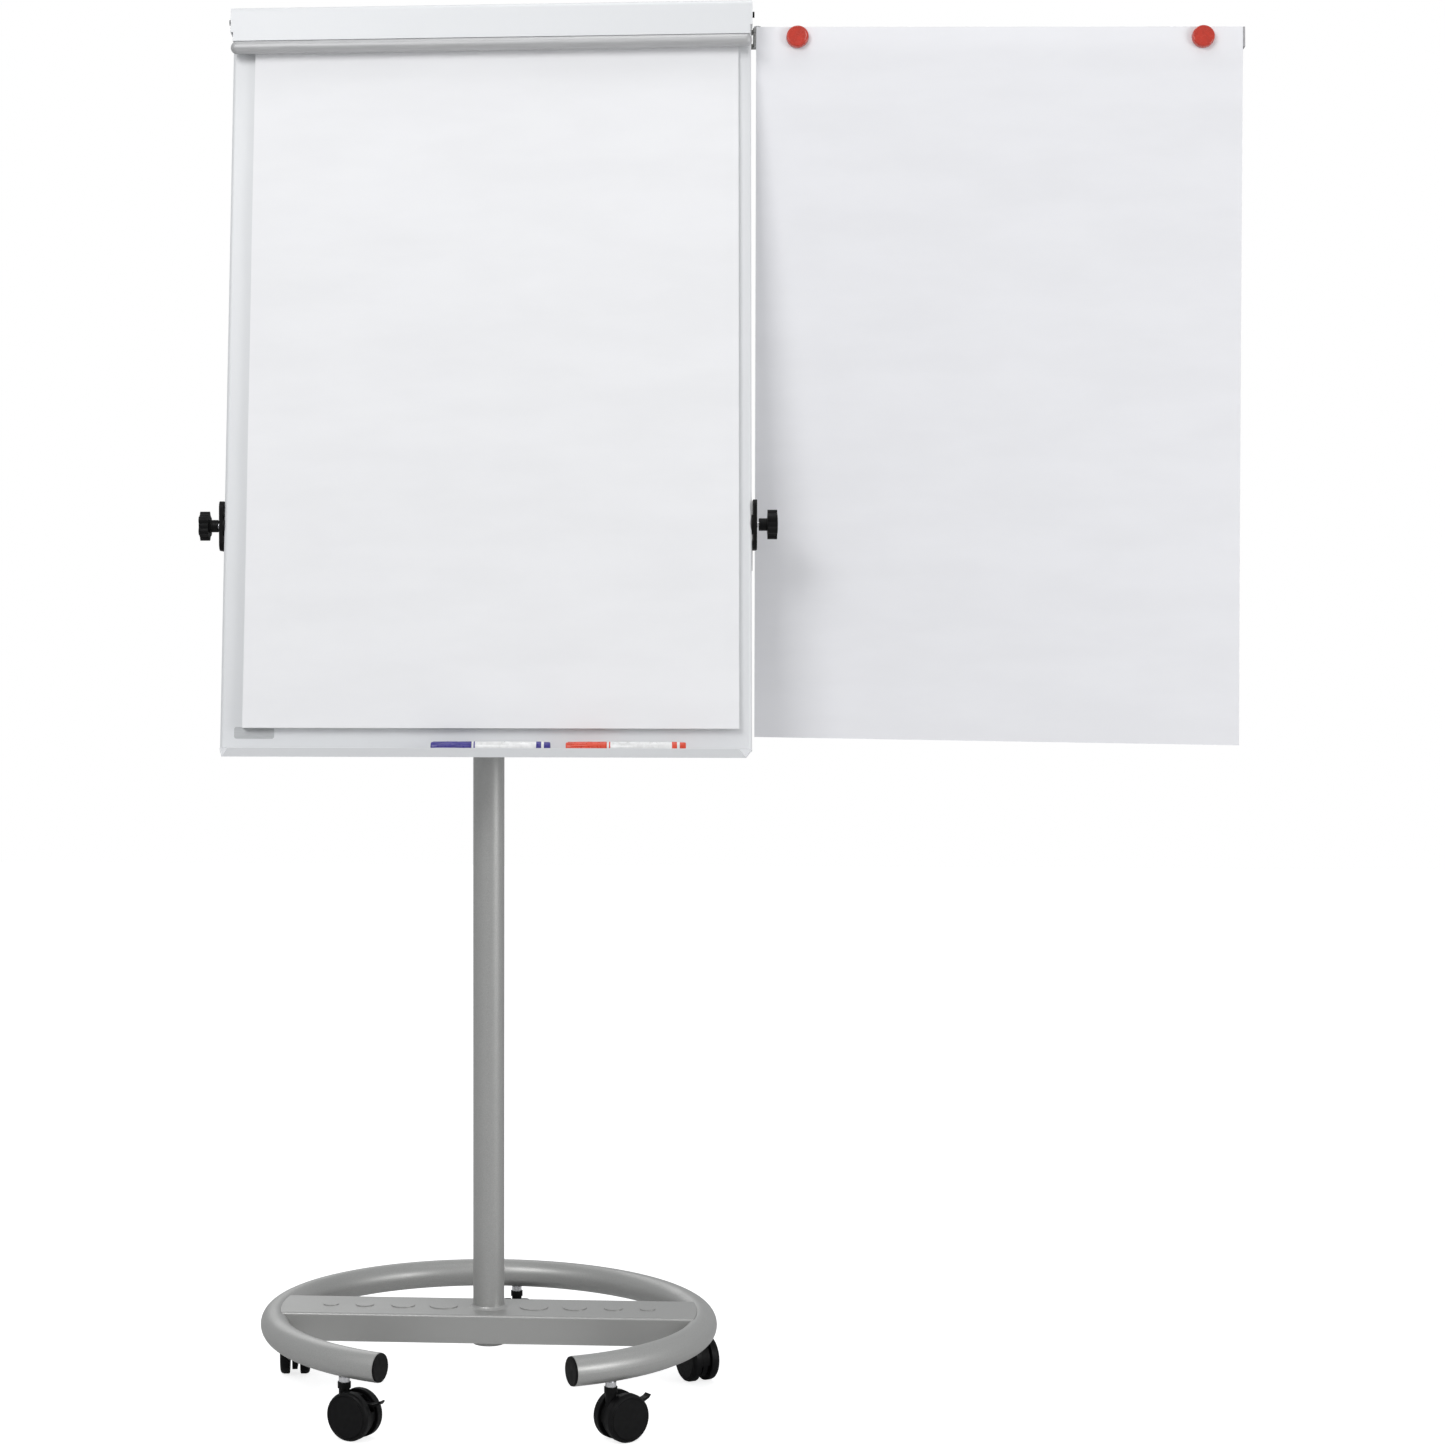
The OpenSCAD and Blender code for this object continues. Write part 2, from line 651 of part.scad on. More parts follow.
rail_wall = 1.5;
module arm_rail() color(steel_grey) difference() {
    union() {
        on_arm() difference() {
            block([rail_start - hinge_x, -arm_depth / 2, -arm_height / 2],
                  [arm_reach, arm_depth / 2, arm_height / 2]);
            block([rail_start - hinge_x + wall, rail_wall - arm_depth / 2, rail_wall - arm_height / 2],
                  [arm_reach + 1, arm_depth / 2 - rail_wall, arm_height / 2 - rail_wall]);
        }
        on_board() translate([hinge_x, arm_y, arm_v - knuckle_half]) {
            cylinder(r = knuckle_r, h = 2 * knuckle_half);
            block([0, -3, 0], [rail_start - hinge_x + 1, 3, 2 * knuckle_half]);
        }
    }
    on_board() translate([hinge_x, arm_y, 0]) cylinder(r = hinge_r + run_gap, h = header_top);
}

module arm_end_cap() color(steel_grey) on_arm() {
    block([arm_reach + 0.05, -arm_depth / 2, -arm_height / 2],
          [arm_reach + 2.5, arm_depth / 2, arm_height / 2]);
    block([arm_reach - 10, -arm_depth / 2 + 1.6, -arm_height / 2 + 1.6],
          [arm_reach + 1, arm_depth / 2 - 1.6, arm_height / 2 - 1.6]);
}

// the sheet lies on the arm's face and hangs plumb below it
sheet_on_arm = arm_height - sheet_inset;
module hanging_sheet() color([0.92, 0.92, 0.93]) on_arm()
    translate([sheet_left - hinge_x + sheet_width / 2, sheet_y - arm_y, -arm_height / 2])
        along_x(sheet_width) {
            translate([-sheet_depth, 0]) square([sheet_depth, sheet_on_arm]);
            translate([0, 0.3]) rotate(board_lean)
                translate([-sheet_depth, sheet_on_arm - sheet_length])
                    square([sheet_depth, sheet_length - sheet_on_arm]);
        }

module magnet(x) color(red) on_arm()
    translate([x - hinge_x, sheet_y - arm_y - sheet_depth - 0.1, magnet_w])
        rod_y(-magnet_depth, 0, magnet_d / 2);
module magnet_left() magnet(magnet_x[0]);
module magnet_right() magnet(magnet_x[1]);

// ---- markers, lying in the tray against its lip -----------------------------------

marker_seat = marker_r + 0.15;
module in_tray(x) on_tray() translate([x, marker_seat - tray_floor, marker_seat]) children();

neck = 14;
module marker(left) in_tray(left) {
    rod_x(marker_cap + 0.3, marker_length - marker_plug, marker_r - 0.2);
    rod_x(marker_length - marker_plug - 1, marker_length, marker_r - 0.7);
    rod_x(marker_cap - neck, marker_cap + 2, 6.5);
    rod_x(marker_cap - neck - 12, marker_cap - neck + 1, 2.5);
}

module marker_lid(left) in_tray(left) difference() {
    rod_x(0, marker_cap, marker_r);
    rod_x(4, marker_cap + 1, 6.55);
}

module blue_marker() color(marker_white) marker(blue_left);
module blue_marker_cap() color(blue) marker_lid(blue_left);
module red_marker() color(marker_white) marker(red_left);
module red_marker_cap() color(red) marker_lid(red_left);

base_ring();
ring_end_plugs();
cross_channel();
column_tube();
column_bush();
height_collar();
height_knob();
height_knob_screw();
caster_stems();
housing(0, true);  // front_left_housing
axle(0);  // front_left_axle
wheels(0);  // front_left_wheels
brake_lever(0);  // front_left_brake_lever
housing(1, true);  // front_right_housing
axle(1);  // front_right_axle
wheels(1);  // front_right_wheels
brake_lever(1);  // front_right_brake_lever
housing(2, false);  // right_housing
axle(2);  // right_axle
wheels(2);  // right_wheels
housing(3, false);  // rear_housing
axle(3);  // rear_axle
wheels(3);  // rear_wheels
housing(4, false);  // left_housing
axle(4);  // left_axle
wheels(4);  // left_wheels
inner_post();
post_guide();
post_saddle();
yoke_crossbar();
yoke_plates();
tilt_washers();
tilt_knob_left();
tilt_knob_right();
tilt_screw_left();
tilt_screw_right();
board_face();
board_core();
board_back();
pivot_inserts();
pen_tray();
header_brackets();
flap_pins();
clamp_springs();
pad_hooks();
paper_pad();
header_flap();
clamp_bar();
arm_bracket();
bracket_screws();
arm_hinge_pin();
arm_rail();
arm_end_cap();
hanging_sheet();
magnet_left();
magnet_right();
blue_marker();
blue_marker_cap();
red_marker();
red_marker_cap();
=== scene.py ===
"""Looks of the mobile flipchart easel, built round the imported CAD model.

Metres, in the model's own frame: +Z up, the board faces -Y, +X is the viewer's right.
"""
import json
import math

import bmesh
import bpy
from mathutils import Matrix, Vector, noise


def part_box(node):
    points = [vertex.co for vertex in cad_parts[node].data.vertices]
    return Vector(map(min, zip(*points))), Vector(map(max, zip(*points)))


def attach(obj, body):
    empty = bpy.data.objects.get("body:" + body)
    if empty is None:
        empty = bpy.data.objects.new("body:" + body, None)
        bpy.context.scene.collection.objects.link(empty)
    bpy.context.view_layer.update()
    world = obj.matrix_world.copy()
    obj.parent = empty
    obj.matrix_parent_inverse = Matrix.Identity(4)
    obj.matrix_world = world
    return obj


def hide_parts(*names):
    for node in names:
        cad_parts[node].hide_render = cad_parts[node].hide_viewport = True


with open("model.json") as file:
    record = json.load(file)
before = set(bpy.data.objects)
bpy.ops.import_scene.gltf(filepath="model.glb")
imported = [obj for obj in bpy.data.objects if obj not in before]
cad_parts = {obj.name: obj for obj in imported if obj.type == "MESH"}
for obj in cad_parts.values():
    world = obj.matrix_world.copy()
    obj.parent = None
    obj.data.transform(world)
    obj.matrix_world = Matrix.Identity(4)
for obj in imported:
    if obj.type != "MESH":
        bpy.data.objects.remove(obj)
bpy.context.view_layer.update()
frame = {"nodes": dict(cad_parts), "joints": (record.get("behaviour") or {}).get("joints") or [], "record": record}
nodes = frame["nodes"]
joints = {j["name"]: j for j in frame["joints"]}

MM = 0.001


# ---- places read from the frame ---------------------------------------------------

def middle(node):
    low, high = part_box(node)
    return (Vector(low) + Vector(high)) / 2


PIVOT = Vector(joints["board_tilt"]["pos_m"])       # the board's tilt pivot
BOARD_UP = Vector(joints["arm_swing"]["axis"]).normalized()
BOARD_OUT = Vector(joints["magnet_left_pull"]["axis"]).normalized()
ALONG = Vector((1, 0, 0))
COLUMN = middle("column_tube")
HINGE = Vector(joints["arm_swing"]["pos_m"])        # the arm's hinge, at its middle height
FACE = 12 * MM                                      # board's front face, from the tilt pivot
CHANNEL_TOP = 114 * MM                              # top face of the cross channel, from the floor
COLUMN_R = 21 * MM


def on_board(x, out, up):
    """A point at x along the board, out in front of its face and up from the tilt pivot."""
    return Vector((COLUMN.x + x, PIVOT.y, PIVOT.z)) + BOARD_OUT * (FACE + out) + BOARD_UP * up


# ---- materials --------------------------------------------------------------------

NOISE_LOW, NOISE_HIGH = 0.3, 0.7                    # the noise's usual spread


class Paint:
    """A Principled material whose nodes are added step by step, in object coordinates."""

    def __init__(self, name, colour, rough, metal=0.0, **sockets):
        self.mat = bpy.data.materials.new(name)
        self.mat.use_nodes = True
        self.tree = self.mat.node_tree
        self.bsdf = self.tree.nodes["Principled BSDF"]
        self.colour = colour
        self.bsdf.inputs["Base Color"].default_value = (*colour, 1)
        self.bsdf.inputs["Roughness"].default_value = rough
        self.bsdf.inputs["Metallic"].default_value = metal
        for socket, value in sockets.items():
            self.bsdf.inputs[socket.replace("_", " ")].default_value = value
        self.coords = self.add("ShaderNodeTexCoord").outputs["Object"]
        self.normal = None

    def add(self, kind, **settings):
        node = self.tree.nodes.new(kind)
        for key, value in settings.items():
            setattr(node, key, value)
        return node

    def link(self, a, b):
        self.tree.links.new(a, b)

    def stretched(self, scale):
        """Object coordinates scaled on each axis; a small scale draws the noise out along it."""
        mapping = self.add("ShaderNodeMapping")
        mapping.inputs["Scale"].default_value = scale
        self.link(self.coords, mapping.inputs["Vector"])
        return mapping.outputs["Vector"]

    def noise(self, size, detail=3.0, stretch=(1, 1, 1)):
        """Noise whose features are about size metres wide."""
        texture = self.add("ShaderNodeTexNoise")
        texture.inputs["Scale"].default_value = 1 / size
        texture.inputs["Detail"].default_value = detail
        self.link(self.stretched(stretch), texture.inputs["Vector"])
        return texture.outputs["Fac"]

    def vary_colour(self, fac, dark, light, low=0.35, high=0.65):
        """Base colour between dark and light times the paint's own, between two noise levels."""
        ramp = self.add("ShaderNodeValToRGB")
        ramp.color_ramp.elements[0].position = low
        ramp.color_ramp.elements[1].position = high
        ramp.color_ramp.elements[0].color = (*[c * dark for c in self.colour], 1)
        ramp.color_ramp.elements[1].color = (*[min(1, c * light) for c in self.colour], 1)
        self.link(fac, ramp.inputs["Fac"])
        self.link(ramp.outputs["Color"], self.bsdf.inputs["Base Color"])
        return self

    def vary_rough(self, fac, low, high):
        """Roughness between low and high, by the noise."""
        span = self.add("ShaderNodeMapRange")
        span.inputs["From Min"].default_value = NOISE_LOW
        span.inputs["From Max"].default_value = NOISE_HIGH
        span.inputs["To Min"].default_value = low
        span.inputs["To Max"].default_value = high
        self.link(fac, span.inputs["Value"])
        self.link(span.outputs["Result"], self.bsdf.inputs["Roughness"])
        return self

    def bump(self, fac, depth, strength=1.0):
        """Raises the surface by up to depth metres; several bumps add up."""
        bump = self.add("ShaderNodeBump")
        bump.inputs["Distance"].default_value = depth
        bump.inputs["Strength"].default_value = strength
        self.link(fac, bump.inputs["Height"])
        if self.normal:
            self.link(self.normal, bump.inputs["Normal"])
        self.normal = bump.outputs["Normal"]
        self.link(self.normal, self.bsdf.inputs["Normal"])
        return self


def silver_coat():
    p = Paint("silver_coat", (0.44, 0.44, 0.43), 0.42, 0.55, Coat_Weight=0.05)
    flake = p.noise(0.7 * MM, 2)
    p.vary_colour(flake, 0.90, 1.12)
    p.vary_rough(p.noise(60 * MM, 4), 0.38, 0.46)
    return p.bump(flake, 0.03 * MM, 0.5).bump(p.noise(3 * MM), 0.04 * MM, 0.35).mat


def white_enamel():
    p = Paint("white_enamel", (0.76, 0.77, 0.785), 0.42, 0.0, Coat_Weight=0.1, Coat_Roughness=0.3)
    p.vary_colour(p.noise(400 * MM, 2), 0.99, 1.005)
    p.vary_rough(p.noise(120 * MM, 2), 0.40, 0.44)
    return p.bump(p.noise(1.5 * MM, 2), 0.004 * MM, 0.4).mat


def satin_aluminium():
    p = Paint("satin_aluminium", (0.50, 0.50, 0.505), 0.50, 0.45)
    grain = p.noise(0.8 * MM, 3, (0.02, 1, 1))
    p.vary_colour(grain, 0.92, 1.08)
    p.vary_rough(grain, 0.46, 0.58)
    return p.bump(grain, 0.02 * MM, 0.5).mat


def zinc_plate():
    p = Paint("zinc_plate", (0.72, 0.72, 0.74), 0.26, 1.0)
    p.vary_colour(p.noise(4 * MM, 3), 0.86, 1.08)
    p.vary_rough(p.noise(1.5 * MM, 3), 0.18, 0.36)
    return p.bump(p.noise(0.5 * MM), 0.01 * MM, 0.4).mat


def polished_chrome():
    p = Paint("polished_chrome", (0.82, 0.82, 0.83), 0.10, 1.0)
    p.vary_rough(p.noise(30 * MM, 4, (1, 1, 0.1)), 0.06, 0.15)
    return p.bump(p.noise(1.2 * MM, 2, (1, 1, 0.05)), 0.004 * MM, 0.4).mat


def black_plastic():
    p = Paint("black_plastic", (0.003, 0.003, 0.0032), 0.5, Specular_IOR_Level=0.16)
    grain = p.noise(0.6 * MM, 2)
    p.vary_colour(p.noise(12 * MM, 3), 0.8, 1.25)
    p.vary_rough(p.noise(8 * MM, 3), 0.42, 0.58)
    return p.bump(grain, 0.03 * MM, 0.5).mat


def tread_plastic():
    p = Paint("tread_plastic", (0.0035, 0.0035, 0.0038), 0.46, Specular_IOR_Level=0.16)
    p.vary_colour(p.noise(6 * MM, 4), 0.75, 1.5)
    p.vary_rough(p.noise(3 * MM, 4), 0.36, 0.56)
    return p.bump(p.noise(1.1 * MM, 3), 0.03 * MM, 0.5).mat


def grey_plastic():
    p = Paint("grey_plastic", (0.38, 0.375, 0.39), 0.45)
    p.vary_colour(p.noise(6 * MM, 3), 0.92, 1.08)
    p.vary_rough(p.noise(3 * MM, 3), 0.40, 0.54)
    return p.bump(p.noise(0.6 * MM, 2), 0.02 * MM, 0.5).mat


def brown_board():
    p = Paint("brown_board", (0.45, 0.30, 0.16), 0.85)
    fibre = p.noise(2 * MM, 5, (0.2, 1, 1))
    p.vary_colour(fibre, 0.8, 1.15)
    p.vary_rough(fibre, 0.8, 0.95)
    return p.bump(fibre, 0.1 * MM, 0.6).mat


def paper(name, colour):
    p = Paint(name, colour, 0.82, 0.0, Specular_IOR_Level=0.25)
    fibre = p.noise(0.9 * MM, 5)
    p.vary_colour(p.noise(70 * MM, 4, (0.5, 1, 1.6)), 0.985, 1.01)
    p.vary_rough(fibre, 0.78, 0.9)
    return p.bump(fibre, 0.02 * MM, 0.5).bump(p.noise(45 * MM, 3, (0.4, 1, 1.5)), 0.25 * MM, 0.35).mat


def page_edges():
    """Cut paper edges: thin lines along the pages, which lie square to the board."""
    p = Paint("page_edges", (0.90, 0.90, 0.89), 0.85)
    leaf = p.noise(0.5 * MM, 2, (0.02, 1, 0.15))
    p.vary_colour(leaf, 0.86, 1.04)
    p.vary_rough(leaf, 0.8, 0.92)
    return p.bump(leaf, 0.05 * MM, 0.6).mat


def moulded(name, colour, rough=0.3, coat=0.2):
    p = Paint(name, colour, rough, 0.0, Coat_Weight=coat, Coat_Roughness=0.12)
    p.vary_colour(p.noise(9 * MM, 3), 0.92, 1.07)
    p.vary_rough(p.noise(4 * MM, 3), rough - 0.06, rough + 0.08)
    return p.bump(p.noise(0.7 * MM, 2), 0.01 * MM, 0.5).mat


def plate_metal():
    p = Paint("plate_metal", (0.50, 0.51, 0.52), 0.4, 0.6)
    grain = p.noise(0.4 * MM, 2, (0.03, 1, 1))
    p.vary_colour(grain, 0.9, 1.08)
    return p.vary_rough(grain, 0.34, 0.5).bump(grain, 0.01 * MM, 0.4).mat


SILVER, ENAMEL, ALUMINIUM = silver_coat(), white_enamel(), satin_aluminium()
ZINC, CHROME, BLACK, TREAD = zinc_plate(), polished_chrome(), black_plastic(), tread_plastic()
CORE = brown_board()
PAD_PAPER = paper("pad_paper", (0.88, 0.88, 0.895))
SHEET_PAPER = paper("sheet_paper", (0.86, 0.86, 0.885))
EDGES = page_edges()
BLUE = moulded("blue_plastic", (0.040, 0.030, 0.24))
RED = moulded("red_plastic", (0.68, 0.058, 0.022))
MAGNET_RED = moulded("magnet_red", (0.52, 0.036, 0.018), 0.24, 0.35)
BARREL_WHITE = moulded("barrel_white", (0.80, 0.80, 0.80))
PLATE = plate_metal()
GREY = grey_plastic()

SLOT_MATERIALS = {
    "painted_steel": SILVER, "white_lacquer": ENAMEL, "bar_aluminium": ALUMINIUM,
    "zinc": ZINC, "post_chrome": CHROME, "black_plastic": BLACK, "wheel_plastic": TREAD,
    "core_board": CORE, "pad_paper": PAD_PAPER, "sheet_paper": SHEET_PAPER,
    "blue_plastic": BLUE, "red_plastic": RED, "magnet_red": MAGNET_RED,
    "marker_white": BARREL_WHITE, "grey_plastic": GREY,
}
NODE_SLOTS = {s["node"]: s["material_slot"] for s in frame["record"]["subparts"]}

BEVEL_MM = {"painted_steel": 0.5, "white_lacquer": 0.3, "black_plastic": 0.8, "wheel_plastic": 0.6}
UNBEVELLED = ("board_face", "board_back", "board_core", "base_ring", "column_tube", "inner_post")
BEVEL_ANGLE = 40


def dress_cad_nodes():
    """Each CAD node gets its slot's material; those of some slots also get a small bevel on their sharp edges."""
    for name, obj in nodes.items():
        slot = NODE_SLOTS[name]
        obj.data.materials.clear()
        obj.data.materials.append(SLOT_MATERIALS[slot])
        if slot in BEVEL_MM and name not in UNBEVELLED:
            edge = obj.modifiers.new("edges", "BEVEL")
            edge.width = BEVEL_MM[slot] * MM
            edge.segments = 2
            edge.limit_method = "ANGLE"
            edge.angle_limit = math.radians(BEVEL_ANGLE)
            edge.harden_normals = True


# ---- mesh helpers -------------------------------------------------------------------

def new_object(name, verts, faces, material, smooth=True):
    """A mesh object from its points and faces, with one material."""
    mesh = bpy.data.meshes.new(name)
    mesh.from_pydata([tuple(v) for v in verts], [], faces)
    mesh.materials.append(material)
    mesh.update()
    obj = bpy.data.objects.new(name, mesh)
    bpy.context.collection.objects.link(obj)
    for polygon in mesh.polygons:
        polygon.use_smooth = smooth
    return obj


def place(obj, body, node=None):
    """Puts a piece on a body, and hides the CAD node it stands for, if one is given."""
    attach(obj, body)
    if node:
        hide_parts(node)
    return obj


def revolve(name, profile, start, axis, material, turns=48, ripple=None, ring=False):
    """A closed body of revolution: profile is (distance along axis, radius) pairs in metres.

    ripple(along, angle) scales the radius, for ribs and flats. A ring's profile is a loop."""
    axis = axis.normalized()
    side = axis.orthogonal().normalized()
    other = axis.cross(side)
    verts, faces = [], []
    for along, radius in profile:
        for k in range(turns):
            a = 2 * math.pi * k / turns
            r = radius * (ripple(along, a) if ripple else 1)
            verts.append(start + axis * along + (side * math.cos(a) + other * math.sin(a)) * r)
    count = len(profile)
    for i in range(count if ring else count - 1):
        a, b = i * turns, (i + 1) % count * turns
        for k in range(turns):
            n = (k + 1) % turns
            faces.append((a + k, a + n, b + n, b + k))
    if not ring:
        faces.append(tuple(reversed(range(turns))))
        faces.append(tuple((count - 1) * turns + k for k in range(turns)))
    obj = new_object(name, verts, faces, material)
    fix_normals(obj)
    sharpen(obj)
    return obj


def fix_normals(obj):
    """Turns every face outward."""
    bm = bmesh.new()
    bm.from_mesh(obj.data)
    bmesh.ops.recalc_face_normals(bm, faces=bm.faces)
    bm.to_mesh(obj.data)
    bm.free()


def sharpen(obj, angle=38):
    """Marks edges sharper than angle degrees, so that smooth shading stops there."""
    bm = bmesh.new()
    bm.from_mesh(obj.data)
    for edge in bm.edges:
        if len(edge.link_faces) == 2 and edge.calc_face_angle(0) > math.radians(angle):
            edge.smooth = False
    bm.to_mesh(obj.data)
    bm.free()


def sweep(name, points, radius, material, sides=8):
    """A wire of round section along a path of points, closed at both ends."""
    verts, faces = [], []
    tangent = (points[1] - points[0]).normalized()
    side = tangent.orthogonal().normalized()
    for i, p in enumerate(points):
        ahead = points[min(i + 1, len(points) - 1)] - points[max(i - 1, 0)]
        ahead.normalize()
        side = (side - ahead * side.dot(ahead)).normalized()
        other = ahead.cross(side)
        for k in range(sides):
            a = 2 * math.pi * k / sides
            verts.append(p + (side * math.cos(a) + other * math.sin(a)) * radius)
    for i in range(len(points) - 1):
        for k in range(sides):
            n = (k + 1) % sides
            a, b = i * sides, (i + 1) * sides
            faces.append((a + k, a + n, b + n, b + k))
    faces.append(tuple(range(sides)))
    faces.append(tuple((len(points) - 1) * sides + k for k in range(sides)))
    obj = new_object(name, verts, faces, material)
    fix_normals(obj)
    return obj


def thin_grid(name, point, columns, rows, depth, away, material):
    """A closed thin sheet: point(s, t) for s, t in 0..1 is its front, and away its back's direction."""
    front = [point(i / columns, j / rows) for j in range(rows + 1) for i in range(columns + 1)]
    back = [p + away * depth for p in front]
    n = len(front)
    wide = columns + 1
    faces = []
    for j in range(rows):
        for i in range(columns):
            a = j * wide + i
            faces.append((a, a + 1, a + wide + 1, a + wide))
            faces.append((n + a, n + a + wide, n + a + wide + 1, n + a + 1))
    rim = list(range(wide))
    rim += [j * wide + columns for j in range(1, rows + 1)]
    rim += [rows * wide + i for i in reversed(range(columns))]
    rim += [j * wide for j in reversed(range(1, rows))]
    for a, b in zip(rim, rim[1:] + rim[:1]):
        faces.append((a, n + a, n + b, b))
    obj = new_object(name, front + back, faces, material)
    fix_normals(obj)
    sharpen(obj)
    return obj


# ---- camera, lights and stage --------------------------------------------------------

CAMERA_PLACE = (-0.0709, -3.7794, 1.0068)
CAMERA_DOWN, CAMERA_TURN = 1.5, 4.045               # degrees below level, and to the viewer's left
CAMERA_LENS, CAMERA_SENSOR = 70.0, 36               # mm
CAMERA_SHIFT = (0.1757, -0.0028)


def camera():
    data = bpy.data.cameras.new("camera")
    data.lens = CAMERA_LENS
    data.sensor_width = CAMERA_SENSOR
    data.shift_x, data.shift_y = CAMERA_SHIFT
    data.dof.use_dof = False
    obj = bpy.data.objects.new("camera", data)
    bpy.context.collection.objects.link(obj)
    obj.location = CAMERA_PLACE
    obj.rotation_euler = (math.radians(90 - CAMERA_DOWN), 0, math.radians(CAMERA_TURN))
    bpy.context.scene.camera = obj


def area_light(name, at, target, size, power):
    """A square white lamp at a point, aimed at another; size in metres, power in watts."""
    data = bpy.data.lights.new(name, "AREA")
    data.size = size
    data.energy = power
    obj = bpy.data.objects.new(name, data)
    bpy.context.collection.objects.link(obj)
    obj.location = at
    obj.rotation_euler = (Vector(target) - Vector(at)).to_track_quat("-Z", "Y").to_euler()


SKY_SEEN, SKY_LIGHT = 1.0, 0.50                     # the world's strength: to the camera, as light
FLOOR_GLOW = 0.78                                   # added to the floor where the camera sees it
FLOOR_HALF = 9


def studio():
    """White surroundings for the camera, a dimmer even light on the object, and soft lamps."""
    scene = bpy.context.scene
    scene.view_settings.view_transform = "Standard"
    world = bpy.data.worlds.new("world")
    world.use_nodes = True
    tree = world.node_tree
    seen = tree.nodes["Background"]
    seen.inputs["Color"].default_value = (1, 1, 1, 1)
    seen.inputs["Strength"].default_value = SKY_SEEN
    lit = tree.nodes.new("ShaderNodeBackground")
    lit.inputs["Color"].default_value = (0.97, 0.985, 1.0, 1)
    lit.inputs["Strength"].default_value = SKY_LIGHT
    mix = tree.nodes.new("ShaderNodeMixShader")
    path = tree.nodes.new("ShaderNodeLightPath")
    tree.links.new(path.outputs["Is Camera Ray"], mix.inputs[0])
    tree.links.new(lit.outputs[0], mix.inputs[1])
    tree.links.new(seen.outputs[0], mix.inputs[2])
    tree.links.new(mix.outputs[0], tree.nodes["World Output"].inputs["Surface"])
    scene.world = world
    area_light("key", (-1.6, -2.8, 3.2), (0, 0, 1.1), 1.6, 50)
    area_light("fill", (2.9, -1.9, 1.5), (-0.1, 0, 0.8), 1.3, 32)
    area_light("top", (0.0, -0.3, 3.6), (-0.3, 0, 0.1), 1.0, 10)
    area_light("back", (-1.6, 3.4, 2.4), (0, 0, 1.0), 2.0, 14)
    half = FLOOR_HALF
    corners = [(-half, -half, 0), (half, -half, 0), (half, half, 0), (-half, half, 0)]
    new_object("floor", corners, [(0, 1, 2, 3)], floor_paint(), smooth=False)


def floor_paint():
    """White where the camera sees it; to everything else it is a plain pale floor."""
    p = Paint("floor_paint", (0.62, 0.62, 0.62), 0.9)
    p.vary_colour(p.noise(0.8, 2), 0.99, 1.01)
    glow = p.add("ShaderNodeEmission")
    glow.inputs["Strength"].default_value = FLOOR_GLOW
    both = p.add("ShaderNodeAddShader")
    p.link(p.bsdf.outputs[0], both.inputs[0])
    p.link(glow.outputs[0], both.inputs[1])
    seen = p.add("ShaderNodeMixShader")
    p.link(p.add("ShaderNodeLightPath").outputs["Is Camera Ray"], seen.inputs[0])
    p.link(p.bsdf.outputs[0], seen.inputs[1])
    p.link(both.outputs[0], seen.inputs[2])
    p.link(seen.outputs[0], p.tree.nodes["Material Output"].inputs["Surface"])
    return p.mat


# ---- paper ------------------------------------------------------------------------------

PAD_BOTTOM, PAD_TOP = -272 * MM, 688 * MM           # up the board, from the tilt pivot
PAD_BACK, PAD_FRONT = 0.3 * MM, 5.3 * MM            # out from the board's face
PAGE_THICK, SHEET_THICK = 0.12 * MM, 0.15 * MM


def pad():
    """The pad under the clamp: layers of pages, and the top page, which ripples a little."""
    low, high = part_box("paper_pad")
    left, right = low[0] - COLUMN.x, high[0] - COLUMN.x
    bottom, top = PAD_BOTTOM, PAD_TOP
    back, front = PAD_BACK, PAD_FRONT
    layers = 7
    step = (front - back) / layers
    verts, faces = [], []
    for k in range(layers):
        slip = 0.45 * MM * noise.noise(Vector((k * 1.7, 3.1, 0)))
        drop = 0.8 * MM * noise.noise(Vector((k * 2.3, 9.4, 0)))
        base = len(verts)
        for out in (back + k * step, back + (k + 0.9) * step):
            for x, up in ((left, bottom), (right, bottom), (right, top), (left, top)):
                verts.append(on_board(x + slip, out, up + (drop if up < 0 else 0)))
        faces += [tuple(base + i for i in face) for face in (
            (0, 3, 2, 1), (4, 5, 6, 7), (0, 1, 5, 4), (1, 2, 6, 5), (2, 3, 7, 6), (3, 0, 4, 7))]
    pages = new_object("pad_pages", verts, faces, EDGES, smooth=False)
    place(pages, "board", "paper_pad")

    width, length = right - left, top - bottom

    def page(s, t):
        below = (1 - t) * length                    # distance from the held top edge
        free = min(1, max(0, (below - 50 * MM) / (250 * MM)))   # 0 under the clamp, 1 well below
        ripple = noise.noise(Vector((s * 1.6, t * 7.0, 0.3))) * 1.1 * MM
        ripple += math.sin(t * 21 + s * 2.5) * 0.25 * MM
        curl = 3.2 * MM * max(0, (below / length - 0.8) / 0.2) ** 2
        edge = 0.8 * MM * (2 * abs(s - 0.5)) ** 6
        out = front + PAGE_THICK + free * (1.3 * MM + ripple + edge) + curl
        return on_board(left + s * width, out, bottom - 0.6 * MM + t * (length - 1 * MM))

    top_page = thin_grid("top_page", page, 36, 60, PAGE_THICK, -BOARD_OUT, PAD_PAPER)
    place(top_page, "board")


